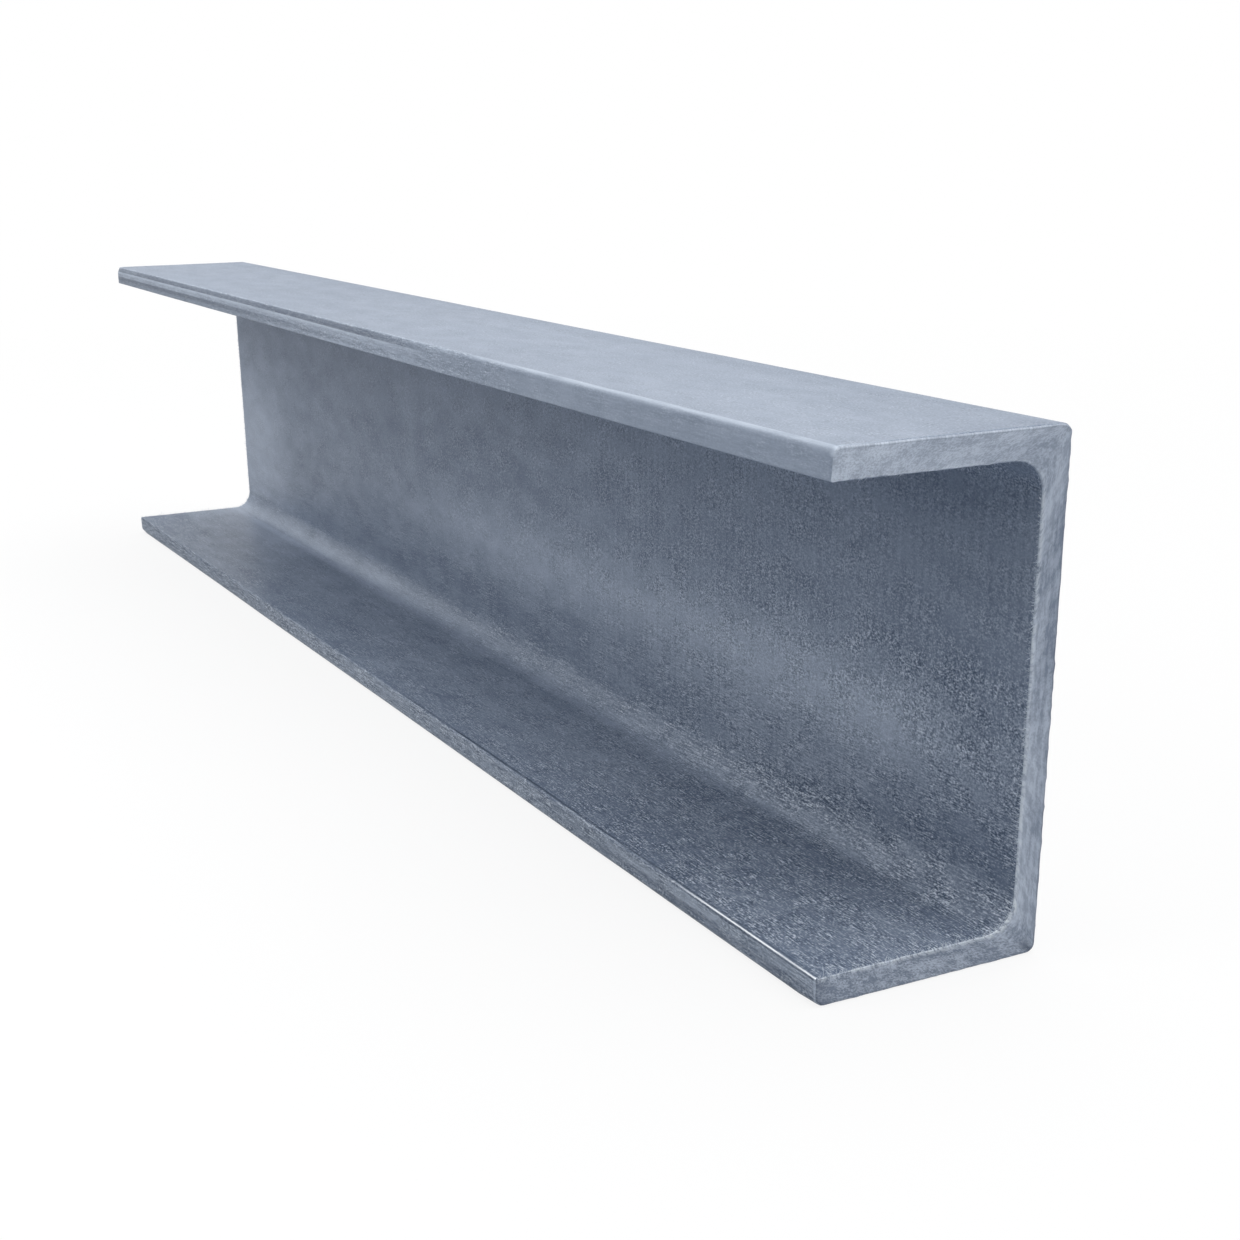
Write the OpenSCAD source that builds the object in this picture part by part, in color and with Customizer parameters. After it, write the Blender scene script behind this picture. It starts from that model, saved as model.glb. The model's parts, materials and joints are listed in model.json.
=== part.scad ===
// Fiberglass U-channel: one pultruded U section of even wall, sawn square at both ends.
// It stands on its lower flange. X runs along the length, the back of the web faces +Y,
// the open side faces -Y, and Z = 0 is the surface under the lower flange.

/* [Channel] */
// Length between the two sawn ends
length = 470; // [100:10:6000]
// Depth of the section, over the outside faces of the flanges
depth = 100; // [60:1:300]
// Width of each flange, from the back of the web to the toe
flange_w = 50; // [30:1:100]

/* [Walls] */
// Thickness of the web
web_t = 6; // [3:0.5:12]
// Thickness of each flange
flange_t = 6; // [3:0.5:12]

/* [Corners] */
// Radius of the fillet inside the trough, where web and flange meet
fillet_r = 6; // [1:0.5:12]
// Radius of the heel, outside the corner of web and flange
heel_r = 2; // [0.5:0.5:8]
// Radius of a toe's edge on the outside of its flange
toe_outer_r = 2; // [0.5:0.25:3]
// Radius of a toe's edge on the inside of its flange
toe_inner_r = 0.75; // [0.25:0.25:2]

/* [Hidden] */
$fn = 64;

// Each toe edge is limited to half of the flange it rounds
toe_outer = min(toe_outer_r, flange_t / 2);
toe_inner = min(toe_inner_r, flange_t / 2);

// Places across the section, where 0 is the middle of the flange width
toe_x = -flange_w / 2;
back_x = flange_w / 2;
web_front_x = back_x - web_t;

// How far a cut is drawn past the material it opens
overrun = 1;

// The corner at the origin that lies outside a tangent quarter circle: taken from a wall
// it rounds an edge, and left standing in the trough it is a fillet
module corner_spandrel(radius) {
    difference() {
        square(radius);
        translate([radius, radius]) circle(radius);
    }
}

// Draws its children at the lower flange and mirrored at the upper flange
module at_both_flanges() {
    children();
    translate([0, depth]) mirror([0, 1]) children();
}

// Everything that rounds an outside edge of the lower flange
module edge_rounds() {
    translate([back_x, 0]) mirror([1, 0]) corner_spandrel(heel_r);
    translate([toe_x, 0]) corner_spandrel(toe_outer);
    translate([toe_x, flange_t]) mirror([0, 1]) corner_spandrel(toe_inner);
}

// Fillet between the web and the lower flange
module root_fillet() {
    translate([web_front_x, flange_t]) mirror([1, 0]) corner_spandrel(fillet_r);
}

// The open space between the flanges, drawn a little past the toes
module trough() {
    difference() {
        translate([toe_x - overrun, flange_t])
            square([web_front_x - toe_x + overrun, depth - 2 * flange_t]);
        at_both_flanges() root_fillet();
    }
}

// The die's outline, seen along the length with the web's back to the right
module channel_section() {
    difference() {
        translate([toe_x, 0]) square([flange_w, depth]);
        trough();
        at_both_flanges() edge_rounds();
    }
}

module u_channel() {
    color([0.58, 0.62, 0.68])
        translate([-length / 2, 0, 0])
            rotate([90, 0, 90])
                linear_extrude(length) channel_section();
}

u_channel();
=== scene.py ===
"""Dresses the packed fiberglass U-channel: moulded skin, sawn ends, frayed fibres and a plain studio."""

import json
import math
from typing import NamedTuple

import bpy
import numpy as np
from bpy.props import FloatProperty, FloatVectorProperty, IntProperty, PointerProperty
from mathutils import Matrix, Vector


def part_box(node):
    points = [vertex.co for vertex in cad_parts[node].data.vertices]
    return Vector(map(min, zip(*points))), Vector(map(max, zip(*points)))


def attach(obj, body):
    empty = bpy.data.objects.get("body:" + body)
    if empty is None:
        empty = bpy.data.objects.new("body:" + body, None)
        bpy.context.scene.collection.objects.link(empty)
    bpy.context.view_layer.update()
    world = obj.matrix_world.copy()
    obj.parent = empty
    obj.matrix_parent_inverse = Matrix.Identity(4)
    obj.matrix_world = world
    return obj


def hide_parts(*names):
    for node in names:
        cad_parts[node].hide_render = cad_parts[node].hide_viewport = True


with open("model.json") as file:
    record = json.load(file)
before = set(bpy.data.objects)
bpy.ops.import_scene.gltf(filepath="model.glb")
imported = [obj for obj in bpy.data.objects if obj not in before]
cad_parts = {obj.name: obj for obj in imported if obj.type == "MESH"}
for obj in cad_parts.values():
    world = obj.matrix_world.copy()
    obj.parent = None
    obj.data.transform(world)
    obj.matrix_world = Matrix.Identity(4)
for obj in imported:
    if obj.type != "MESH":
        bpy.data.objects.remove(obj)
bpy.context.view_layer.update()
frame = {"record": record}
NODE_LOW, NODE_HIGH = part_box("u_channel")
MOUNTS = {row["name"]: row["pos_m"] for row in frame["record"]["mounts"]}
WALL = MOUNTS["web_back"][1] - MOUNTS["web_front"][1]

bl_info = {
    "name": "Fiberglass U-Channel",
    "version": (1, 0, 0),
    "blender": (4, 5, 0),
    "location": "3D View > Sidebar > U-Channel",
    "description": "Builds a pultruded fiberglass U-channel with sawn ends in a plain studio",
    "category": "Object",
}

MM = 0.001
QUARTER = math.pi / 2
BODY_NAME = "channel_body"
FRAY_NAME = "cut_fibres"

# Mesh steps around the section and along the length
EDGE_STEPS = 9
EDGE_ZONE = 2.2 * MM
FLANGE_STEPS = 42
WEB_STEPS = 84
CORNER_STEPS = 12
TOE_OUTER_STEPS = 9
TOE_FLAT_STEPS = 12
TOE_INNER_STEPS = 6
LENGTH_STEP = 3 * MM

# Rings in the edge that the saw broke, by distance from the end over the saw arris
ARRIS_RINGS = (0, 0.3, 0.8, 1.6, 3.5)

# Random hills in the skin, by their size across and along
RIDGE_HILLS = (3.2 * MM, 160 * MM)
PRINT_HILLS = (8 * MM, 20 * MM)
WAVE_HILLS = (45 * MM, 90 * MM)

# The lower toe's draw lines, by their height and half width
TOE_LINES = ((2.1 * MM, 0.3 * MM), (3.3 * MM, 0.25 * MM), (4.4 * MM, 0.2 * MM))

# The saw's marks: grain of the broken edge, share of it that shows the cut, and hills in the cut
ARRIS_GRAIN = 1.1 * MM
CUT_REACH = 0.6
SAW_MARK_WIDTH = 0.7 * MM
SAW_MARK_LENGTH = 5 * MM
SAW_MARK_CELLS = 64

# How deep a frayed fibre is rooted, and the direction that its sides are turned from
FIBRE_ROOT = 0.3 * MM
FIBRE_TWIST = (0.3, 0.5, 0.8)

# Tone of the plain skin, and the tones at which the skin and the cut are all light
PLAIN_TONE = 0.52
SKIN_LIGHT_TONE = 1.6
SAWN_LIGHT_TONE = 1.5

# Studio
WHITE = (1, 1, 1, 1)
SENSOR_WIDTH = 36
NEAREST_SEEN = 10 * MM


def length_prop(name, description, default, **more):
    """A length in metres, shown with its unit."""
    return FloatProperty(
        name=name, description=description, default=default, min=0, precision=5, unit="LENGTH", **more
    )


def share_prop(name, description, default, **more):
    """A share from 0 to 1."""
    return FloatProperty(
        name=name, description=description, default=default, min=0, max=1, subtype="FACTOR", **more
    )


def colour_prop(name, description, default):
    """A colour in linear values."""
    return FloatVectorProperty(
        name=name, description=description, default=default, min=0, max=1, size=3, subtype="COLOR"
    )


def angle_prop(name, description, degrees):
    """An angle, written in degrees."""
    return FloatProperty(
        name=name, description=description, default=math.radians(degrees), subtype="ANGLE", unit="ROTATION"
    )


class ChannelSizes(bpy.types.PropertyGroup):
    """Sizes of the die's section and of the sawn length."""

    length: length_prop("Length", "Between the two sawn ends", NODE_HIGH.x - NODE_LOW.x)
    depth: length_prop("Depth", "Over the outside faces of the flanges", NODE_HIGH.z - NODE_LOW.z)
    flange_width: length_prop("Flange width", "From the web's back to the toe", NODE_HIGH.y - NODE_LOW.y)
    web_wall: length_prop("Web wall", "Thickness of the web", WALL)
    flange_wall: length_prop("Flange wall", "Thickness of each flange", WALL)
    fillet: length_prop("Root fillet", "Radius inside the trough", 6 * MM)
    heel: length_prop("Heel", "Radius outside the corner of web and flange", 2 * MM)
    upper_toe: length_prop("Upper toe, outside", "Radius of the upper toe on top of its flange", 1.3 * MM)
    lower_toe: length_prop("Lower toe, outside", "Radius of the lower toe under its flange", 1.5 * MM)
    toe_inner: length_prop("Toe, inside", "Radius of a toe on the inside of its flange", 0.4 * MM)


class ReliefSizes(bpy.types.PropertyGroup):
    """How far the moulded skin and the saw cut depart from a true surface."""

    ridge: length_prop("Roving ridges", "Height of the lengthwise roving ridges", 0.02 * MM)
    print_through: length_prop("Mat print", "Height of the mat's print-through", 0.035 * MM)
    bow: length_prop("Waviness", "Height of the broad waves in each wall", 0.1 * MM)
    toe_step: length_prop("Toe step", "Depth of the recess drawn along the top of the upper toe", 0.25 * MM)
    toe_step_height: length_prop("Toe step height", "Height of that recess", 1.75 * MM)
    toe_lines: length_prop("Toe lines", "Depth of the draw lines along the lower toe", 0.1 * MM)
    flash: length_prop("Flash", "Height of the resin flash on the lower toe's inner edge", 0.1 * MM)
    arris: length_prop("Saw arris", "How far the saw breaks the edge of a cut end", 0.3 * MM)
    knock: length_prop("Knocked corner", "How far the toes' corners are knocked off at a cut end", 0.45 * MM)
    knock_reach: length_prop("Knock reach", "How far along the length a corner is knocked off", 4 * MM)
    saw_marks: length_prop("Saw marks", "Depth of the saw marks in a cut end", 0.05 * MM)
    seed: IntProperty(name="Seed", description="Start of the random relief", default=7)


class SkinFinish(bpy.types.PropertyGroup):
    """Colours and gloss of the moulded skin."""

    dark: colour_prop("Dark resin", "Colour where the veil lies deep in resin", (0.081, 0.122, 0.202))
    light: colour_prop("Light resin", "Colour where the veil lies near the surface", (0.725, 0.808, 0.937))
    bare: colour_prop("Bare fibre", "Colour of a fibre of the veil at the surface", (0.775, 0.835, 0.915))
    sunk: colour_prop("Sunken veil", "Colour of resin between the veil's fibres", (0.081, 0.111, 0.167))
    # The rubbed colour also paints the highlights along the upper toe, on its ledge and at the cut ends
    rubbed: colour_prop("Rubbed edge", "Colour of resin rubbed pale along an edge", (0.73, 0.81, 0.93))
    # The draw line colour also paints the shade in the upper toe's recess
    line: colour_prop("Draw line", "Colour of a draw line filled with dust", (0.06, 0.082, 0.13))
    # The flash's white is a painted glint
    flash: colour_prop("Flash", "Colour of the thin resin flash along the lower toe", (0.93, 0.965, 1.0))
    gloss_rough: share_prop("Roughness, smooth", "Roughness of the smoothest skin", 0.36)
    veil_rough: share_prop("Roughness, veiled", "Roughness where the veil stands up", 0.54)
    veil_depth: length_prop("Veil depth", "Height of the veil's texture", 0.05 * MM)
    relief: share_prop("Relief", "Strength of the veil's texture", 0.55)
    shine: share_prop("Shine", "Strength of the skin's reflection", 0.1)
    glint: share_prop("Flash glint", "How metallic the flash glints", 0.6)
    stitch_rows: length_prop("Stitch rows", "Distance between the mat's rows of stitches", 2.87 * MM)
    stitch_loops: length_prop("Stitch loops", "Distance between the loops in a row", 1 * MM)


class SawnFinish(bpy.types.PropertyGroup):
    """Colours and grain of the sawn ends and the fibres frayed from them."""

    dark: colour_prop("Dark grain", "Colour of resin between cut rovings", (0.27, 0.318, 0.41))
    light: colour_prop("Light grain", "Colour of cut rovings", (0.8025, 0.876, 0.9875))
    rim: colour_prop("Rim", "Colour of the skin's edge around a cut", (0.15, 0.18, 0.24))
    fibre: colour_prop("Fibre", "Colour of a frayed glass fibre", (0.88, 0.94, 1.0))
    dull_fibre: colour_prop("Dull fibre", "Colour of a fibre still wet with resin", (0.625, 0.69, 0.795))
    grain_depth: length_prop("Grain depth", "Height of the cut's grain", 0.06 * MM)
    relief: share_prop("Relief", "Strength of the cut's grain", 0.6)
    rough: share_prop("Roughness", "Roughness of a cut", 0.62)
    shine: share_prop("Shine", "Strength of a cut's reflection", 0.3)
    fibre_rough: share_prop("Fibre roughness", "Roughness of a frayed fibre", 0.45)
    fibres: IntProperty(name="Fibres", description="Frayed fibres at each end", default=420, min=0)
    fibre_length: length_prop("Fibre length", "Mean length of a frayed fibre", 0.45 * MM)
    fibre_width: length_prop("Fibre width", "Width of a frayed fibre at its root", 0.09 * MM)


class StudioSetup(bpy.types.PropertyGroup):
    """Floor, light and camera."""

    floor: colour_prop("Floor", "Colour of the floor", (0.96, 0.96, 0.96))
    floor_reach: length_prop("Floor reach", "Half the width of the floor", 12)
    floor_glow: share_prop("Floor glow", "Share of the floor's white that the shadow does not dim", 0.86)
    fade_start: length_prop("Fade start", "Where the floor starts to fade into the backdrop", 0.5)
    fade_end: length_prop("Fade end", "Where the floor has become the backdrop", 1.1)
    bounce: colour_prop("Floor bounce", "Colour of the light off the floor", (0.28, 0.31, 0.355))
    fill: colour_prop("Fill colour", "Colour of the light from all round", (0.97, 0.985, 1.0))
    fill_high: FloatProperty(name="Fill, overhead", description="Light from above", default=0.55, min=0)
    fill_low: FloatProperty(name="Fill, level", description="Light from the horizon", default=0.12, min=0)
    top_lamp: FloatProperty(name="Top lamp", description="Strength of the top light", default=1.75, min=0)
    top_height: angle_prop("Top lamp height", "Height of the overhead light above level", 75)
    top_side: angle_prop("Top lamp side", "Turn of the overhead light from the open side", 180)
    top_spread: angle_prop("Top lamp spread", "Apparent width of the overhead light", 70)
    front_lamp: FloatProperty(
        name="Front lamp", description="Power of the front light", default=1.95, min=0, unit="POWER"
    )
    front_place: FloatVectorProperty(
        name="Front lamp place", description="Where the front light stands", default=(-0.15, -0.8, 0.5),
        size=3, subtype="TRANSLATION", unit="LENGTH",
    )
    front_size: length_prop("Front lamp size", "Width of the front light", 0.6)
    end_lamp: FloatProperty(
        name="End lamp", description="Strength of the light on the near end", default=0.5, min=0
    )
    end_height: angle_prop("End lamp height", "Height of the end light above level", 14)
    end_side: angle_prop("End lamp side", "Turn of the end light from the open side", 106)
    end_spread: angle_prop("End lamp spread", "Apparent width of the end light", 30)
    camera_place: FloatVectorProperty(
        name="Camera", description="Place of the camera", default=(0.47919, -0.19337, 0.14885),
        size=3, subtype="TRANSLATION", unit="LENGTH", precision=5,
    )
    camera_turn: angle_prop("Turn", "Camera's turn about the upright", 62.063)
    camera_tilt: angle_prop("Tilt", "Camera's tilt below level", 19.644)
    camera_roll: angle_prop("Roll", "Camera's roll", -0.482)
    camera_lens: FloatProperty(name="Lens", description="Focal length in mm on 36 mm", default=53.413, min=1)
    camera_rise: FloatProperty(name="Rise", description="Camera's vertical shift", default=0.129)


# Section


def run_line(start, end, shares):
    """Points on a straight run of the section."""
    shares = np.asarray(shares)[:, None]
    return np.asarray(start) * (1 - shares) + np.asarray(end) * shares


def run_arc(centre, radius, first, last, steps):
    """Points on a rounded run of the section, from one quarter turn to another."""
    turn = np.linspace(first * QUARTER, last * QUARTER, steps + 1)
    return np.asarray(centre) + radius * np.column_stack((np.cos(turn), np.sin(turn)))


def flange_shares(run):
    """Steps along a flange from its toe, close together at the edge."""
    edge = np.linspace(0, EDGE_ZONE / run, EDGE_STEPS, endpoint=False)
    return np.concatenate((edge, np.linspace(EDGE_ZONE / run, 1, FLANGE_STEPS + 1)))


class Section:
    """The die's outline as a closed ring of points, each with its outward normal and its run's name."""

    def __init__(self, sizes):
        toe = -sizes.flange_width / 2
        back = sizes.flange_width / 2
        front = back - sizes.web_wall
        top = sizes.depth
        wall = sizes.flange_wall
        ceiling = top - wall
        fillet = sizes.fillet
        root = front - fillet
        heel = sizes.heel
        upper = sizes.upper_toe
        lower = sizes.lower_toe
        inner = sizes.toe_inner
        even = np.linspace(0, 1, WEB_STEPS + 1)
        flat = np.linspace(0, 1, TOE_FLAT_STEPS + 1)
        above = flange_shares(back - heel - toe - upper)
        under = flange_shares(back - heel - toe - lower)
        inside = flange_shares(root - toe - inner)
        runs = (
            ("lower_under", run_line((toe + lower, 0), (back - heel, 0), under)),
            ("lower_heel", run_arc((back - heel, heel), heel, -1, 0, CORNER_STEPS)),
            ("web_back", run_line((back, heel), (back, top - heel), even)),
            ("upper_heel", run_arc((back - heel, top - heel), heel, 0, 1, CORNER_STEPS)),
            ("upper_top", run_line((toe + upper, top), (back - heel, top), above)[::-1]),
            ("upper_toe", run_arc((toe + upper, top - upper), upper, 1, 2, TOE_OUTER_STEPS)),
            ("upper_toe", run_line((toe, top - upper), (toe, ceiling + inner), flat)),
            ("upper_toe", run_arc((toe + inner, ceiling + inner), inner, 2, 3, TOE_INNER_STEPS)),
            ("upper_under", run_line((toe + inner, ceiling), (root, ceiling), inside)),
            ("upper_fillet", run_arc((root, ceiling - fillet), fillet, 1, 0, CORNER_STEPS)),
            ("web_front", run_line((front, ceiling - fillet), (front, wall + fillet), even)),
            ("lower_fillet", run_arc((root, wall + fillet), fillet, 0, -1, CORNER_STEPS)),
            ("lower_top", run_line((toe + inner, wall), (root, wall), inside)[::-1]),
            ("lower_toe", run_arc((toe + inner, wall - inner), inner, 1, 2, TOE_INNER_STEPS)),
            ("lower_toe", run_line((toe, wall - inner), (toe, lower), flat)),
            ("lower_toe", run_arc((toe + lower, lower), lower, 2, 3, TOE_OUTER_STEPS)),
        )
        self.root = root
        self.points = np.concatenate([points[:-1] for _, points in runs])
        self.y = self.points[:, :1]
        self.z = self.points[:, 1:]
        self.names = np.concatenate([np.full(len(points) - 1, name) for name, points in runs])
        ahead = np.roll(self.points, -1, axis=0) - self.points
        behind = self.points - np.roll(self.points, 1, axis=0)
        ahead_length = np.linalg.norm(ahead, axis=1, keepdims=True)
        along = ahead / ahead_length + behind / np.roll(ahead_length, 1, axis=0)
        along /= np.linalg.norm(along, axis=1, keepdims=True)
        self.normals = np.column_stack((along[:, 1], -along[:, 0]))
        self.steps = ahead_length[:, 0]
        self.girth = float(self.steps.sum())
        self.around = np.concatenate(([0], np.cumsum(self.steps[:-1])))[:, None]
        self.count = len(self.points)
        self.toe_count = TOE_OUTER_STEPS + TOE_FLAT_STEPS + TOE_INNER_STEPS
        self.side_count = self.count // 2 - self.toe_count

    def from_toe(self, height):
        """Distance of each point from the toes' face at a height."""
        return np.hypot(self.y - self.y.min(), self.z - height)

    def on(self, *names):
        """1 on the points of the named runs, 0 on the others."""
        return np.isin(self.names, names).astype(float)[:, None]


# Relief


def ease(value, low, high):
    """0 below low, 1 above high, and a smooth rise between."""
    share = np.clip((value - low) / (high - low), 0, 1)
    return share * share * (3 - 2 * share)


def fall(value, low, high):
    """1 below low, 0 above high, and a smooth fall between."""
    return 1 - ease(value, low, high)


def hump(value, middle, half_width):
    """1 at the middle, falling smoothly to 0 on both sides."""
    return np.exp(-(((value - middle) / half_width) ** 2))


def closed_hills(rng, around, along, cells):
    """Random hills from 0 to 1 on a ring of so many cells, running freely along the length."""
    heights = rng.uniform(0, 1, (cells, int(along.max()) + 3))
    column = np.floor(around).astype(int)
    row = np.floor(along).astype(int)
    across_share = ease(around - column, 0, 1)
    along_share = ease(along - row, 0, 1)
    here = column % cells
    beside = (column + 1) % cells
    near = heights[here, row] * (1 - across_share) + heights[beside, row] * across_share
    far = heights[here, row + 1] * (1 - across_share) + heights[beside, row + 1] * across_share
    return near * (1 - along_share) + far * along_share


def ring_hills(rng, section, places, across_size, along_size):
    """Random hills of a given size over the skin, as one value for each ring point and place."""
    cells = max(int(round(section.girth / across_size)), 2)
    around = section.around / section.girth * cells + 0 * places[None, :]
    along = (places - places.min())[None, :] / along_size + 0 * around
    return closed_hills(rng, around, along, cells)


def length_places(half, arris):
    """Places of the rings along the length, close together where the saw broke the edge."""
    broken = arris * np.array(ARRIS_RINGS)
    inner = half - 2 * LENGTH_STEP
    even = np.linspace(-inner, inner, int(round(2 * inner / LENGTH_STEP)) + 1)
    return np.concatenate((-half + broken, even, (half - broken)[::-1]))


def recess_reach(along):
    """Height of the upper toe's recess as a share of its full height, a little lower at the far end."""
    return 0.92 + 0.2 * ease(along, -0.3, 0.2)


def skin_relief(section, sizes, relief, places, rng):
    """How far each skin point stands out from the die's surface."""
    along = places[None, :] / (sizes.length / 2)
    ridges = ring_hills(rng, section, places, *RIDGE_HILLS)
    prints = ring_hills(rng, section, places, *PRINT_HILLS)
    waves = ring_hills(rng, section, places, *WAVE_HILLS)
    out = -relief.ridge * ridges - relief.print_through * prints - relief.bow * waves
    # The upper toe has a drawn recess that dies out along the length
    below_top = sizes.depth - section.z
    step = relief.toe_step_height * recess_reach(along)
    recess = ease(below_top, 0.05 * step, 0.25 * step) * fall(below_top, 0.92 * step, 1.1 * step)
    out -= section.on("upper_toe") * relief.toe_step * recess * fall(along, 0.1, 0.36)
    # The lower toe has draw lines near its end, and a resin flash on its inner edge
    lower_toe = section.on("lower_toe")
    lines = sum(hump(section.z, height, half_width) for height, half_width in TOE_LINES)
    out -= lower_toe * relief.toe_lines * lines * ease(along, 0.2, 0.75)
    inner_edge = hump(section.y - section.y.min(), 0.3 * MM, 0.3 * MM)
    inner_edge = inner_edge * (section.z > 0.75 * sizes.flange_wall)
    return out + lower_toe * relief.flash * inner_edge * ease(along, 0, 0.6)


def saw_relief(section, sizes, relief, places, rng):
    """How far the saw breaks the edge of each end and the toes' corners are knocked off there."""
    half = sizes.length / 2
    from_end = half - np.abs(places)[None, :]
    upper_toe = section.on("upper_toe")
    broken = np.clip(1 - from_end / (relief.arris * (1.6 + 1.6 * upper_toe)), 0, 1) ** 2
    # The edge is ragged around the section, and worn even along the top and high on the upper toe
    heel = sizes.flange_width / 2 - sizes.heel
    worn = section.on("upper_top") * fall(section.y, heel - 8 * MM, heel)
    worn = worn + upper_toe * fall(sizes.depth - section.z, 2 * MM, 4.5 * MM)
    ragged = 0.35 + (1.3 - worn) * ring_hills(rng, section, places, ARRIS_GRAIN, half) + 1.3 * worn
    ceiling = sizes.depth - sizes.flange_wall
    inside_edge = np.minimum(section.from_toe(sizes.flange_wall), section.from_toe(ceiling))
    ragged = ragged * (1 - 0.6 * hump(inside_edge, 0, 1 * MM))
    # The lower toe's corner is knocked off in full, the upper toe's in part
    corners = hump(section.from_toe(0), 0.6 * MM, 0.8 * MM)
    corners = corners + 0.45 * hump(section.from_toe(sizes.depth), 0.6 * MM, 0.8 * MM)
    knocked = np.clip(1 - from_end / relief.knock_reach, 0, 1) ** 2
    return -relief.arris * broken * ragged - relief.knock * corners * knocked


def edge_shares(section, sizes, places):
    """How pale each skin point is painted with highlights and rubbed, and where the toes have their drawn
    marks.
    """
    half = sizes.length / 2
    along = places[None, :] / half
    from_end = half - np.abs(places)[None, :]
    below_top = sizes.depth - section.z
    upper_toe = section.on("upper_toe")
    lower_toe = section.on("lower_toe")
    lower_edge = section.on("lower_top", "lower_toe")
    # The upper toe has painted highlights along both its edges, and at the cut ends along its top edge and
    # the top beside it; the lower toe is rubbed pale at the cut ends
    upper_highlight = upper_toe * hump(below_top, 0.2 * MM, 0.32 * MM) * ease(along, 0.25, 0.55)
    foot_highlight = upper_toe * hump(below_top, 5.45 * MM, 0.3 * MM) * hump(along, 0.05, 0.5)
    lower_rub = lower_toe * fall(from_end, 0.4 * MM, 0.8 * MM)
    arris = section.on("upper_top", "upper_toe") * (below_top < 2 * MM) * fall(section.y, -22 * MM, -11 * MM)
    arris_highlight = arris * fall(from_end, 0.5 * MM, 1 * MM)
    # The rubbed share holds painted highlights on the upper toe as well as the lower toe's rubbed ends
    rubbed = 0.55 * upper_highlight + 0.4 * foot_highlight + 0.9 * lower_rub + 0.55 * arris_highlight
    # Distance around the lower flange's edge, from the middle of its inner rounding towards the root
    lip = section.around[section.names == "lower_toe"][TOE_INNER_STEPS // 2]
    edge = np.clip(lip - section.around, -sizes.flange_wall, sizes.flange_wall)
    edge = np.where(section.on("lower_under") > 0, -sizes.flange_wall, edge)
    drawn = ease(along, 0.05, 0.3) * (1 - 0.35 * ease(along, 0.66, 0.74))
    recess = fall(along, 0.08, 0.34) * (0.8 + 0.2 * ease(along, -1, -0.75))
    return {
        "rubbed": np.clip(rubbed, 0, 1),
        "edge": edge + 0 * along,
        "drawn": lower_edge * drawn,
        "flash": lower_edge * ease(along, 0.75, 0.86),
        "worn": lower_edge * ease(along, 0.4, 0.85),
        "recess": upper_toe * recess,
        "step": below_top / recess_reach(along),
        "foot": upper_toe * fall(along, -0.6, 0.15),
    }


def grain_shares(section, sizes, places):
    """The veil's strength at each skin point, how its fibres lie, its stitches, its mottle, and its tone
    with painted light and shade.
    """
    along = places[None, :] / (sizes.length / 2)
    height = section.z / sizes.depth
    web = section.on("web_front")
    fillets = section.on("upper_fillet", "lower_fillet")
    flats = section.on("upper_under", "lower_top")
    upper_toe = section.on("upper_toe")
    lower_toe = section.on("lower_toe")
    inside = web + fillets + flats
    # The veil shows more towards the near end, most of all low on the web and on the lower toe
    nearer = 0.38 + 0.2 * ease(along, -0.5, 0.1) + 0.17 * ease(along, 0.1, 0.7)
    low = 0.3 * fall(height, 0.42, 0.6) * ease(along, 0.25, 0.75)
    band = 0.38 * web * hump(height, 0.38, 0.1) * ease(along, 0, 0.5)
    veil = inside * (nearer + low) + band + 0.45 * (1 - inside) + 0.5 * lower_toe
    veil = veil + upper_toe * (0.2 - 0.4 * ease(along, 0.3, 0.6))
    corner = section.on("lower_top") * fall(section.y, -10 * MM, 0) * ease(along, 0.88, 0.96)
    upper_near = web * ease(height, 0.5, 0.7) * ease(along, 0.65, 0.85)
    veil = veil * (1 - 0.25 * corner - 0.28 * upper_near)
    # Its fibres lie lengthwise on the flanges and the toes, and low on the web
    lengthwise = flats + upper_toe + lower_toe + section.on("lower_under", "lower_fillet")
    lengthwise = lengthwise + 0.2 * section.on("upper_top") + web * (0.7 - 0.55 * ease(height, 0.22, 0.42))
    stitch = web + 0.5 * flats + 0.4 * fillets + 0.6 * section.on("web_back")
    return {
        "veil": veil,
        "lengthwise": lengthwise + 0 * along,
        "toe": lower_toe + upper_toe * (0.6 - 0.5 * ease(along, 0.2, 0.5)),
        "stitch": stitch * (0.15 + 0.85 * ease(along, 0.05, 0.45)),
        "mottle": 0.07 + 0.045 * inside * fall(along, 0.25, 0.6),
        "tone": skin_tone_and_painted_light(section, sizes, along),
    }


def web_painted_light(height, along):
    """Painted light and shade on the web, by its height over the depth: a pale band along it as a painted
    reflection, painted light at its far end, high up under the upper flange and by the root, and painted
    shade in the middle, low down and towards the near end.
    """
    band = hump(height, 0.365, 0.1) * ease(along, -0.5, 0.05) * (1 - 0.6 * ease(along, 0.84, 0.98))
    far_patch = hump(height, 0.33, 0.26) * fall(along, -0.92, -0.7)
    under_flange = hump(height, 0.82, 0.06) * fall(along, 0.7, 0.85)
    upper = hump(height, 0.76, 0.09) * ease(along, -0.5, -0.1)
    by_root = fall(height, 0.2, 0.3) * ease(along, 0.2, 0.4) * fall(along, 0.75, 0.9)
    # Painted light: the reflection band, the far end, high up and by the root
    pale = (0.36 + 0.09 * ease(along, 0.1, 0.4)) * band + 0.5 * far_patch
    pale = pale + 0.1 * under_flange + 0.1 * upper + 0.05 * by_root
    # Painted shade
    middle = hump(height, 0.58, 0.13) * hump(along, -0.3, 0.4)
    low = hump(height, 0.19, 0.06) * hump(along, -0.1, 0.35)
    near_low = hump(height, 0.16, 0.05) * ease(along, 0.75, 0.9)
    near_end = hump(height, 0.4, 0.2) * ease(along, 0.8, 0.92)
    return pale - 0.09 * middle - 0.1 * low - 0.14 * near_low - 0.1 * near_end


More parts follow.
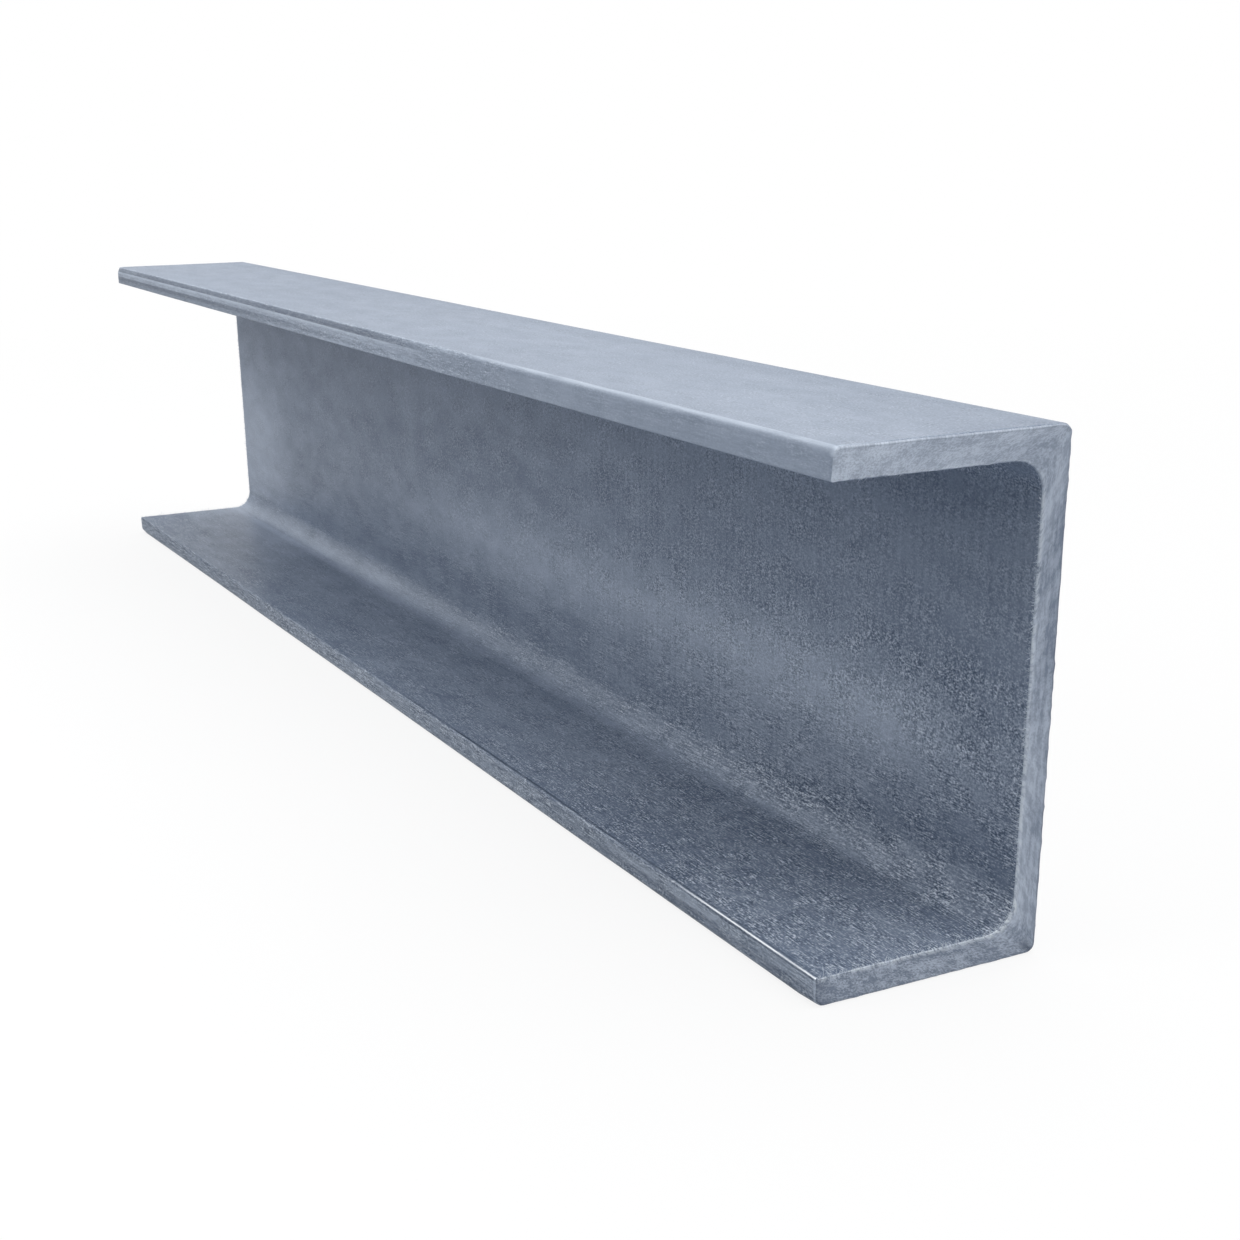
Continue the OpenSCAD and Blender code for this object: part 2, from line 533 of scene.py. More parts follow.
def flange_painted_light(y, root, along):
    """Painted light and shade on the top of the lower flange: a painted highlight along the root that fades
    at the near end, painted light near the toe at the near end and towards the root at the far end, and
    painted shade by the root at the near end, along the toe side and towards the near end.
    """
    strip = ease(y, root - 4 * MM, root) * (0.26 + 0.15 * fall(along, -0.4, -0.1)) * fall(along, 0.8, 0.97)
    near_toe = fall(y, -14 * MM, -8 * MM) * hump(along, 0.85, 0.08)
    far_patch = (0.08 + 0.08 * ease(y, -10 * MM, 10 * MM)) * hump(along, -0.74, 0.13)
    far_root = ease(y, root - 14 * MM, root - 4 * MM) * fall(along, -0.75, -0.5)
    near_root = hump(y, root - 3 * MM, 4 * MM) * ease(along, 0.66, 0.86)
    toe_side = fall(y, -12 * MM, -6 * MM) * (0.1 + 0.12 * fall(along, -0.9, -0.7))
    # Painted light, less painted shade
    pale = strip + 0.1 * near_toe + far_patch + 0.22 * far_root
    return pale - 0.13 * near_root - 0.1 * ease(along, 0.35, 0.7) - toe_side


def root_painted_highlight(section, sizes, along):
    """A painted highlight on the lower root fillet: a pale ribbon, brightest at its far end."""
    turn = np.arctan2(section.z - sizes.flange_wall - sizes.fillet, section.y - section.root)
    pale = 0.3 + 0.38 * fall(along, -0.6, 0.1) + 0.05 * hump(along, 0.72, 0.12)
    return hump(turn, math.radians(-66), math.radians(34)) * (pale - 0.32 * ease(along, 0.8, 0.97))


def toe_painted_light(upper_toe, along):
    """Painted light on the toes: paler towards the near end, the upper one more, and the upper toe also
    paler towards its far end.
    """
    # Painted light, paler towards the near end
    worn = (0.14 + 0.14 * upper_toe) * ease(along, -0.7, 0)
    return worn + upper_toe * (0.24 * fall(along, -0.6, -0.2) + 0.04 * ease(along, 0.4, 0.7))


def top_tone(y, along):
    """The top is paler towards its near toe and darker towards its far end and its heel."""
    near_toe = 0.08 * ease(along, 0.3, 0.8) * fall(y, -10 * MM, 5 * MM)
    return 0.03 + near_toe - 0.06 * fall(along, -0.5, 0.1) - 0.06 * ease(y, 14 * MM, 20 * MM)


def skin_tone_and_painted_light(section, sizes, along):
    """How pale the resin stands at each skin point, with painted light and shade on the web, the lower
    flange, its root and the toes, from the far end at -1 to the near end at 1.
    """
    tone = PLAIN_TONE + section.on("web_front") * web_painted_light(section.z / sizes.depth, along)
    tone = tone + section.on("lower_top") * flange_painted_light(section.y, section.root, along)
    tone = tone + section.on("lower_fillet") * root_painted_highlight(section, sizes, along)
    tone = tone + section.on("upper_toe", "lower_toe") * toe_painted_light(section.on("upper_toe"), along)
    return tone + section.on("upper_top") * top_tone(section.y, along)


def fray_shares(section):
    """How much the saw frays the fibres around the section, most of all in the lower fillet."""
    fray = section.on("web_front") * 0.55 + section.on("lower_fillet") + section.on("lower_top") * 0.6
    return (fray + section.on("upper_under", "upper_fillet") * 0.15)[:, 0]


def skin_points(section, sizes, places, out):
    """Places of all skin points, by ring point and by place along the length."""
    yz = section.points[:, None, :] + section.normals[:, None, :] * out[:, :, None]
    yz[:, :, 0] = np.clip(yz[:, :, 0], -sizes.flange_width / 2, sizes.flange_width / 2)
    x = np.broadcast_to(places[None, :, None], (*out.shape, 1))
    return np.concatenate((x, yz), axis=2)


def skin_faces(count, rings):
    """Faces between neighbouring rings of the skin."""
    here = np.arange(count)
    beyond = (here + 1) % count
    strip = np.column_stack((here, beyond, beyond + count, here + count))
    return np.concatenate([strip + ring * count for ring in range(rings - 1)])


def saw_end(section, sizes, ring):
    """One cut end as a grid of points, from toe to toe and from outside to inside of the wall."""
    sides = section.side_count
    toes = section.toe_count
    outer = ring[: sides + 1]
    upper_toe = ring[sides : sides + toes + 1]
    inner = ring[sides + toes : 2 * sides + toes + 1][::-1]
    lower_toe = np.concatenate((ring[2 * sides + toes :], ring[:1]))[::-1]
    across = section.points[np.r_[2 * sides + toes : section.count, 0]][::-1, 1] / sizes.flange_wall
    grid = outer[:, None, :] * (1 - across)[None, :, None] + inner[:, None, :] * across[None, :, None]
    steps = np.linalg.norm(np.diff((outer + inner) / 2, axis=0), axis=1)
    run = np.concatenate(([0], np.cumsum(steps)))
    for toe, row, distance in ((lower_toe, 0, run), (upper_toe, -1, run[-1] - run)):
        fade = np.clip(1 - distance / sizes.flange_wall, 0, 1) ** 2
        grid += fade[:, None, None] * (toe - grid[row])[None, :, :]
    return grid, run, across


def mesh_from(name, points, faces, smooth=True):
    """A linked mesh object from arrays of points and faces."""
    mesh = bpy.data.meshes.new(name)
    mesh.from_pydata(points.tolist(), [], faces)
    mesh.update()
    mesh.polygons.foreach_set("use_smooth", np.full(len(mesh.polygons), smooth))
    piece = bpy.data.objects.new(name, mesh)
    bpy.context.scene.collection.objects.link(piece)
    return piece


def paint(piece, name, values):
    """Stores one value for each point, for the finishes to read."""
    layer = piece.data.attributes.new(name, "FLOAT", "POINT")
    layer.data.foreach_set("value", np.asarray(values, np.float32).ravel())


# Finishes


class Grain(NamedTuple):
    """A cloudy pattern: its scale along and across, its fineness, detail and roughness, and its slant."""

    stretch: float
    fineness: float
    detail: float = 2
    roughness: float = 0.5
    across: float = 1
    slant: float = 0


class Stripe(NamedTuple):
    """A soft-edged stripe: where it comes in, where it goes out, its strength, and what is left past it."""

    rise: tuple
    fall: tuple
    strength: float
    left: float = 0


# Patterns of the skin
CLOUDS = Grain(0.5, 26, 3, 0.55)
PATCHES = Grain(0.5, 150)
CLUSTERS = Grain(0.6, 230, 2, 0.55)
DRAWN = Grain(0.05, 600, 2, 0.55)
SPECKS = Grain(0.75, 2800, 2, 0.6)
DASHES = Grain(0.4, 3500, 1, 0.6)
THREADS = Grain(0.08, 3200, 1, 0.6)
BROKEN = Grain(0.08, 1100)
HAIRS = Grain(0.12, 2600)

# Patterns of the sawn ends and the frayed fibres
GRAINS = Grain(0.95, 2500, 2, 0.65)
SLANTED = Grain(0.3, 1700, 2, 0.6, slant=math.radians(38))
MOTTLE = Grain(0.85, 480, 3, 0.6)
SAWN_PATCHES = Grain(0.5, 130)
SMEARS = Grain(0.1, 1100)
TORN = Grain(1, 1000, 3, 0.7, across=0.6)
WET = Grain(1, 900)

# Shares of the patterns in the lengthwise veil and in the cut's grain
DASH_SHARE = 0.8
THREAD_SHARE = 0.6
GRAIN_SHARE = 0.75
SLANT_SHARE = 0.22
MOTTLE_SHARE = 0.64

# The veil's fibres as picked from their pattern, and as strengthened in clusters
FIBRE_RANGE = (0.24, 0.82)
FIBRE_POWER = 2.2
FIBRE_GROUND = 0.2
VEIL_CONTRAST = 2.25
CLUSTER_RANGE = (0.34, 0.64)
CLUSTER_VEIL = (0.5, 1.35)

# How far the mat's rows of stitches wander
STITCH_WANDER = 0.4 * MM

# Specks that show all bare fibre or all sunken resin, and how much less of the latter in pale resin
BARE_SPECK = 1.1
SUNK_SPECK = -0.5
SUNK_TONES = (0.3, 0.6)
SUNK_SHARES = (0.95, 0.5)

# Swings of tone and roughness that the patterns give
CLOUD_SWING = 0.06
DRAWN_SWING = 0.07
STREAK_SWING = 0.1
HAIR_SWING = 0.2
ROUGH_SWING = 0.1
SAWN_PATCH_SWING = 0.25

# How streaks break up the toes' marks: a range of the pattern, and the strengths it gives
FAINT_STREAKS = (0.3, 0.6, 0.3, 1)
FIRM_STREAKS = (0.3, 0.5, 0.7, 1)
WORN_STREAKS = (0.8, 1.2, 0, 1)

# Stripes of the upper toe, by distance below the top: painted shade in its recess, a painted highlight on
# the ledge below it, and its darker foot
RECESS_SHADE = Stripe((0.1 * MM, 0.35 * MM), (1.7 * MM, 1.8 * MM), 0.5)
LEDGE_HIGHLIGHT = Stripe((1.7 * MM, 1.85 * MM), (3.3 * MM, 3.7 * MM), 0.58)
LEDGE_HIGHLIGHT_DIMS = (2.3 * MM, 2.8 * MM)
FOOT = Stripe((3.5 * MM, 3.9 * MM), (4.6 * MM, 5.2 * MM), 0.6, left=0.5)

# Stripes of the lower toe, by distance around its inner edge towards the root
WORN_PALE = Stripe((-3 * MM, -2.6 * MM), (-0.6 * MM, -0.3 * MM), 0.32)
WORN_DARK = 0.42
DRAW_LINE = Stripe((0.25 * MM, 0.4 * MM), (0.9 * MM, 1.3 * MM), 0.95)
UNDER_FLASH = Stripe((-0.8 * MM, -0.6 * MM), (-0.35 * MM, -0.25 * MM), 0.55)
# The flash's white line is a painted glint
FLASH_GLINT = Stripe((-0.2 * MM, -0.1 * MM), (0.12 * MM, 0.22 * MM), 1)

# Places along a sawn wall, from the lower toe to the upper toe
LOWER_HEEL = 44.5 * MM
WEB_STARTS = (42 * MM, 50 * MM)
WEB_ENDS = (131 * MM, 140 * MM)


class Finish:
    """A node tree under construction, with short ways to add and join its nodes."""

    def __init__(self, owner):
        owner.use_nodes = True
        self.owner = owner
        self.tree = owner.node_tree
        self.tree.nodes.clear()

    def add(self, kind, settings=None, **inputs):
        """Adds a node. A socket is joined to it, and any other value is set on it."""
        node = self.tree.nodes.new(kind)
        for key, value in (settings or {}).items():
            setattr(node, key, value)
        for key, value in inputs.items():
            socket = node.inputs[int(key[1:])] if key[0] == "_" else node.inputs[key.replace("_", " ")]
            if isinstance(value, bpy.types.NodeSocket):
                self.tree.links.new(value, socket)
            else:
                socket.default_value = value
        return node

    def maths(self, operation, first, second=0):
        """One sum on values."""
        return self.add("ShaderNodeMath", {"operation": operation}, _0=first, _1=second).outputs[0]

    def plus(self, first, *others):
        """All values added up."""
        for other in others:
            first = self.maths("ADD", first, other)
        return first

    def minus(self, first, second):
        """One value less another."""
        return self.maths("SUBTRACT", first, second)

    def times(self, first, *others):
        """All values multiplied."""
        for other in others:
            first = self.maths("MULTIPLY", first, other)
        return first

    def blend(self, share, first, second):
        """Mixes two colours."""
        return self.add("ShaderNodeMix", {"data_type": "RGBA"}, _0=share, _6=first, _7=second).outputs[2]

    def tint(self, colour, share, shade):
        """Lays a shade over a colour."""
        return self.blend(share, colour, solid(shade))

    def spread(self, value, low, high, to_low, to_high):
        """Maps one range of values to another, and holds it there."""
        return self.add("ShaderNodeMapRange", _0=value, _1=low, _2=high, _3=to_low, _4=to_high).outputs[0]

    def swing(self, value, amount, reach=0.2):
        """Turns a pattern into a swing of an amount to both sides of 0."""
        return self.spread(value, 0.5 - reach, 0.5 + reach, -amount, amount)

    def stripe(self, place, stripe):
        """A soft-edged stripe over a place."""
        rise = self.spread(place, *stripe.rise, 0, stripe.strength)
        return self.times(rise, self.spread(place, *stripe.fall, 1, stripe.left))

    def pattern(self, places, grain):
        """Cloudy pattern at places."""
        scale = (grain.stretch, grain.across, 1)
        mapped = self.add("ShaderNodeMapping", Vector=places, Scale=scale, Rotation=(0, 0, grain.slant))
        node = self.add(
            "ShaderNodeTexNoise", Vector=mapped.outputs[0], Scale=grain.fineness, Detail=grain.detail,
            Roughness=grain.roughness,
        )
        return node.outputs[0]

    def share(self, name):
        """A value painted on the mesh."""
        return self.add("ShaderNodeAttribute", {"attribute_name": name}).outputs["Fac"]

    def places(self):
        """Places in the frame, in metres."""
        return self.add("ShaderNodeTexCoord").outputs["Object"]

    def close(self, shader, output="ShaderNodeOutputMaterial"):
        """Joins the shader to the output and hands back what the finish was made for."""
        self.add(output, Surface=shader)
        return self.owner


def solid(colour):
    """A colour with full alpha, as a socket takes it."""
    return (*colour, 1.0)


def veil_fibres(finish, places, lengthwise):
    """The veil's fibres: specks where they lie all ways, dashes and threads where they lie lengthwise."""
    specks = finish.pattern(places, SPECKS)
    dashes = finish.times(finish.pattern(places, DASHES), DASH_SHARE)
    threads = finish.times(finish.pattern(places, THREADS), THREAD_SHARE)
    above_middle = (DASH_SHARE + THREAD_SHARE - 1) / 2
    laid = finish.minus(finish.plus(dashes, threads), above_middle)
    return finish.plus(specks, finish.times(lengthwise, finish.minus(laid, specks)))


def mat_stitches(finish, places, patches, clusters, look):
    """The mat's stitches, which stand in wandering upright rows along the length."""
    apart = finish.add("ShaderNodeSeparateXYZ", _0=places)
    wander = finish.swing(patches, STITCH_WANDER, reach=0.3)
    row = finish.times(finish.plus(apart.outputs[0], wander), 4 * QUARTER / look.stitch_rows)
    loop = finish.times(apart.outputs[2], 4 * QUARTER / look.stitch_loops)
    loop = finish.spread(finish.maths("COSINE", loop), -1, 1, 0.45, 1)
    seen = finish.times(finish.share("stitch"), finish.spread(clusters, 0.35, 0.65, 0.03, 0.1))
    return finish.times(finish.maths("COSINE", row), loop, seen)


def resin_tone_and_painted_light(finish, places, clouds, patches, broken, lengthwise):
    """The tone of the resin with its painted light and shade: clouds and patches, drawn lines along the
    fibres, and streaks on the toes.
    """
    mottled = finish.times(finish.swing(patches, 1), finish.share("mottle"))
    drawn = finish.times(lengthwise, finish.swing(finish.pattern(places, DRAWN), DRAWN_SWING))
    hairs = finish.swing(finish.pattern(places, HAIRS), HAIR_SWING, reach=0.15)
    streaks = finish.swing(broken, STREAK_SWING, reach=0.15)
    streaked = finish.times(finish.share("toe"), finish.plus(streaks, hairs))
    clouded = finish.swing(clouds, CLOUD_SWING)
    # The painted tone carries painted light and shade
    return finish.plus(clouded, finish.share("tone"), mottled, drawn, streaked)


def mark_upper_toe(finish, colour, firm, look):
    """The upper toe has painted shade in its drawn recess, a painted highlight on the ledge below it, and is
    dark again at its foot.
    """
    below = finish.share("step")
    recess = finish.times(finish.share("recess"), firm)
    # Painted shade in the recess
    colour = finish.tint(colour, finish.times(finish.stripe(below, RECESS_SHADE), recess), look.line)
    # Painted highlight on the ledge below the recess
    ledge = finish.times(finish.stripe(below, LEDGE_HIGHLIGHT), finish.spread(below, *LEDGE_HIGHLIGHT_DIMS, 1, 0.5), recess)
    colour = finish.tint(colour, ledge, look.rubbed)
    foot = finish.times(finish.stripe(below, FOOT), finish.share("foot"), firm)
    return finish.tint(colour, foot, look.line)


def mark_lower_toe(finish, colour, edge, streaks, faint, look):
    """The lower toe is worn pale above and dark below, with a dark line on each side of its flash."""
    worn = finish.times(finish.share("worn"), streaks)
    colour = finish.tint(colour, finish.times(finish.stripe(edge, WORN_PALE), worn), look.rubbed)
    dark = finish.times(finish.spread(edge, *WORN_PALE.rise, WORN_DARK, 0), worn)
    colour = finish.tint(colour, dark, look.line)
    line = finish.times(finish.stripe(edge, DRAW_LINE), finish.share("drawn"), faint)
    colour = finish.tint(colour, line, look.line)
    under = finish.times(finish.stripe(edge, UNDER_FLASH), finish.share("flash"))
    return finish.tint(colour, under, look.line)


def skin_finish(look):
    """Blue-grey moulded skin: a clustered veil of fine fibres over a stitched mat, painted light and shade,
    and marked toes with painted highlights and a painted glint on the flash.
    """
    finish = Finish(bpy.data.materials.new("veil_skin"))
    places = finish.places()
    veil = finish.share("veil")
    lengthwise = finish.share("lengthwise")
    clouds = finish.pattern(places, CLOUDS)
    patches = finish.pattern(places, PATCHES)
    clusters = finish.pattern(places, CLUSTERS)
    broken = finish.pattern(places, BROKEN)
    fine = veil_fibres(finish, places, lengthwise)
    stitch = mat_stitches(finish, places, patches, clusters, look)
    resin = resin_tone_and_painted_light(finish, places, clouds, patches, broken, lengthwise)
    tone = finish.spread(finish.plus(resin, stitch), 0, SKIN_LIGHT_TONE, 0, 1)
    colour = finish.blend(tone, solid(look.dark), solid(look.light))
    # The veil's fibres are light on a darker ground, and lie in clusters
    fibres = finish.maths("POWER", finish.spread(fine, *FIBRE_RANGE, 0, 1), FIBRE_POWER)
    fibres = finish.minus(fibres, FIBRE_GROUND)
    shown = finish.times(veil, finish.spread(clusters, *CLUSTER_RANGE, *CLUSTER_VEIL))
    speck = finish.times(fibres, shown, VEIL_CONTRAST)
    colour = finish.tint(colour, finish.spread(speck, 0, BARE_SPECK, 0, 1), look.bare)
    sunk = finish.spread(speck, SUNK_SPECK, 0, 1, 0)
    sunk = finish.times(sunk, finish.spread(tone, *SUNK_TONES, *SUNK_SHARES))
    colour = finish.tint(colour, sunk, look.sunk)
    # The marks along the toes are broken into streaks, some more than others
    faint = finish.spread(broken, *FAINT_STREAKS)
    firm = finish.spread(broken, *FIRM_STREAKS)
    streaks = finish.spread(finish.plus(broken, patches), *WORN_STREAKS)
    edge = finish.share("edge")
    colour = mark_upper_toe(finish, colour, firm, look)
    colour = mark_lower_toe(finish, colour, edge, streaks, faint, look)
    # Painted highlights along the upper toe's edges and at its cut ends, with the lower toe rubbed pale at
    # the cut ends
    colour = finish.tint(colour, finish.times(finish.share("rubbed"), faint), look.rubbed)
    # A painted glint: the flash is painted white and made partly metallic
    flash = finish.times(finish.stripe(edge, FLASH_GLINT), finish.share("flash"), firm)
    colour = finish.tint(colour, flash, look.flash)
    rough = finish.times(finish.spread(fine, 0.3, 0.7, 0.3, 0.7), veil)
    rough = finish.plus(rough, finish.swing(clouds, ROUGH_SWING))
    rough = finish.spread(rough, 0, 1, look.gloss_rough, look.veil_rough)
    height = finish.plus(finish.times(fine, veil), finish.times(patches, 0.8), finish.times(stitch, 3))
    bump = finish.add("ShaderNodeBump", Strength=look.relief, Distance=look.veil_depth, Height=height)
    shader = finish.add(
        "ShaderNodeBsdfPrincipled", Base_Color=colour, Roughness=rough, Normal=bump.outputs[0],
        Metallic=finish.times(flash, look.glint), Specular_IOR_Level=look.shine,
    )
    return finish.close(shader.outputs[0])


def cut_grain(finish, wall, smeared):
    """Grains of cut rovings, smeared along the run where the saw drags."""
    grains = finish.pattern(wall, GRAINS)
    smear = finish.times(finish.minus(finish.pattern(wall, SMEARS), grains), smeared)
    grains = finish.times(finish.plus(grains, smear), GRAIN_SHARE)
    slanted = finish.times(finish.pattern(wall, SLANTED), SLANT_SHARE)
    mottled = finish.times(finish.pattern(wall, MOTTLE), MOTTLE_SHARE)
    return finish.plus(grains, slanted, mottled)


def sawn_finish(look):
    """Sawn end: paler, dry and mottled, with grains of cut rovings, a dark rim and a frayed lip."""
    finish = Finish(bpy.data.materials.new("sawn_end"))
    run = finish.share("wall_run")
    depth = finish.share("wall_depth")
    wall = finish.add("ShaderNodeCombineXYZ", X=run, Y=depth).outputs[0]
    # The web's cut is smeared by the saw, and the flanges' cuts stay grainy
    smeared = finish.minus(finish.spread(run, *WEB_STARTS, 0, 0.55), finish.spread(run, *WEB_ENDS, 0, 0.55))
    grain = cut_grain(finish, wall, smeared)
    tone = finish.times(finish.spread(grain, 0.7, 0.91, -0.5, 0.5), finish.spread(run, *WEB_STARTS, 1, 0.66))
    # The web's cut is paler inside and darker upwards, and the upper flange's cut is the palest
    tone = finish.plus(
        tone,
        0.5,
        finish.times(smeared, finish.spread(depth, 0.3 * WALL, 0.8 * WALL, 0, 0.35)),
        finish.swing(finish.pattern(wall, SAWN_PATCHES), SAWN_PATCH_SWING),
        finish.spread(run, 65 * MM, 120 * MM, 0, -0.3),
        finish.spread(run, 122 * MM, 152 * MM, 0, 0.69),
        finish.spread(run, 35 * MM, 55 * MM, -0.07, 0.05),
    )
    tone = finish.spread(tone, 0, SAWN_LIGHT_TONE, 0, 1)
    colour = finish.blend(tone, solid(look.dark), solid(look.light))
    rim = finish.spread(depth, 0.1 * MM, 0.5 * MM, 1, 0)
    rim = finish.times(rim, finish.spread(run, 120 * MM, 150 * MM, 0.35, 0.03))
    colour = finish.tint(colour, rim, look.rim)
    # Dirt sits in the lower heel and at the lower toe
    heel = finish.maths("ABSOLUTE", finish.minus(run, LOWER_HEEL))
    heel = finish.spread(heel, 0.5 * MM, 3 * MM, 1, 0)
    heel = finish.times(heel, finish.spread(depth, 0.6 * MM, 2.8 * MM, 1, 0))
    dirt = finish.maths("MAXIMUM", heel, finish.spread(run, 0, 3.5 * MM, 0.5, 0))
    dirt = finish.times(dirt, finish.spread(grain, 0.86, 1.04, 1, 0.35))
    colour = finish.tint(colour, dirt, look.rim)
    torn = finish.spread(finish.pattern(wall, TORN), 0.44, 0.54, 0, 1)
    lip = finish.spread(depth, WALL - 0.85 * MM, WALL - 0.25 * MM, 0, 1)
    colour = finish.tint(colour, finish.times(lip, torn, finish.share("fray")), look.fibre)
    bump = finish.add("ShaderNodeBump", Strength=look.relief, Distance=look.grain_depth, Height=grain)
    shader = finish.add(
        "ShaderNodeBsdfPrincipled", Base_Color=colour, Roughness=look.rough, Normal=bump.outputs[0],
        Specular_IOR_Level=look.shine,
    )
    return finish.close(shader.outputs[0])


def fibre_finish(look):
    """Dry glass fibres, dull where they are still wet with resin."""
    finish = Finish(bpy.data.materials.new("cut_fibre"))
    tone = finish.spread(finish.pattern(finish.places(), WET), 0.35, 0.65, 0, 1)
    colour = finish.blend(tone, solid(look.dull_fibre), solid(look.fibre))
    shader = finish.add("ShaderNodeBsdfPrincipled", Base_Color=colour, Roughness=look.fibre_rough)
    return finish.close(shader.outputs[0])


# Pieces


class CHANNEL_OT_body(bpy.types.Operator):
    """Builds the pultruded channel with its moulded skin and its two sawn ends"""

    bl_idname = "channel.body"
    bl_label = "Channel body"

    def execute(self, context):
        scene = context.scene
        sizes = scene.channel_sizes
        relief = scene.channel_relief
        rng = np.random.default_rng(relief.seed)
        section = Section(sizes)
        half = sizes.length / 2
        places = length_places(half, relief.arris)
        rings = len(places)
        out = skin_relief(section, sizes, relief, places, rng)
        out += saw_relief(section, sizes, relief, places, rng)
        skin = skin_points(section, sizes, places, out)
        points = [skin.transpose(1, 0, 2).reshape(-1, 3)]
        faces = [skin_faces(section.count, rings)]
        # The outermost strips of the skin show the cut
        from_end = half - np.abs(places)
        cut = [np.repeat((from_end[:-1] + from_end[1:]) / 2 < CUT_REACH * relief.arris, section.count)]
        shares = {**grain_shares(section, sizes, places), **edge_shares(section, sizes, places)}
        layers = {name: [values.T.ravel()] for name, values in shares.items()}
        ring_run, ring_depth = self.wall_places(section, sizes, skin[:, 0, 1:])
        layers["fray"] = [np.tile(fray_shares(section), rings)]
        layers["wall_run"] = [np.tile(ring_run, rings)]
        layers["wall_depth"] = [np.tile(ring_depth, rings)]
        used = rings * section.count
        for side, ring in ((-1, 0), (1, rings - 1)):
            inner, patch, run, across, fray = self.cut_end(
                section, sizes, relief, skin[:, ring, 1:], side, ring, used, rng
            )
            points.append(inner)
            faces.append(patch)
            cut.append(np.ones(len(patch), bool))
            for name in shares:
                layers[name].append(np.zeros(len(inner)))
            layers["fray"].append(fray)
            layers["wall_run"].append(run)
            layers["wall_depth"].append(across)
            used += len(inner)
        piece = mesh_from(BODY_NAME, np.concatenate(points), np.concatenate(faces).tolist())
        for name, values in layers.items():
            paint(piece, name, np.concatenate(values))
        piece.data.materials.append(skin_finish(scene.channel_skin))
        piece.data.materials.append(sawn_finish(scene.channel_sawn))
        piece.data.polygons.foreach_set("material_index", np.concatenate(cut).astype(np.int32))
        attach(piece, "root")
        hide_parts("u_channel")
        return {"FINISHED"}

    def wall_places(self, section, sizes, ring):
        """For each ring point, its place along the wall's run and across the wall."""
        sides = section.side_count
        toes = section.toe_count
        _, run, across = saw_end(section, sizes, ring)
        depth = across * sizes.flange_wall
        ring_run = np.concatenate((run, np.full(toes, run[-1]), run[::-1][1:], np.zeros(toes - 1)))
        inside = np.full(sides - 1, depth[-1])
        ring_depth = np.concatenate((np.zeros(sides), depth, inside, depth[::-1][:-1]))
        return ring_run, ring_depth

    def cut_end(self, section, sizes, relief, ring, side, ring_index, first, rng):
        """Points and faces that close one sawn end, with each point's place in the wall."""
        sides = section.side_count
        toes = section.toe_count
        count = section.count
        grid, run, across = saw_end(section, sizes, ring)
        inner = grid[1:-1, 1:-1].reshape(-1, 2)
        run_grid, depth_grid = np.meshgrid(run[1:-1], across[1:-1] * sizes.flange_wall, indexing="ij")
        marks = closed_hills(rng, depth_grid / SAW_MARK_WIDTH, run_grid / SAW_MARK_LENGTH, SAW_MARK_CELLS)
        x = side * (sizes.length / 2 - relief.saw_marks * marks.ravel())
        points = np.column_stack((x, inner))
        number = np.zeros((sides + 1, toes + 1), int)
        base = ring_index * count
        number[:, 0] = base + np.arange(sides + 1)
        number[-1, :] = base + sides + np.arange(toes + 1)
        number[:, -1] = (base + sides + toes + np.arange(sides + 1))[::-1]
        number[0, :] = base + np.r_[0, np.arange(count - 1, count - toes - 1, -1)]
        number[1:-1, 1:-1] = first + np.arange(len(inner)).reshape(sides - 1, toes - 1)
        corners = (number[:-1, :-1], number[1:, :-1], number[1:, 1:], number[:-1, 1:])
        patch = np.stack(corners[::side], axis=-1).reshape(-1, 4)
        inner_fray = fray_shares(section)[sides + toes : 2 * sides + toes + 1][::-1]
        fray = np.repeat(inner_fray[1:-1], toes - 1)
        return points, patch, run_grid.ravel(), depth_grid.ravel(), fray


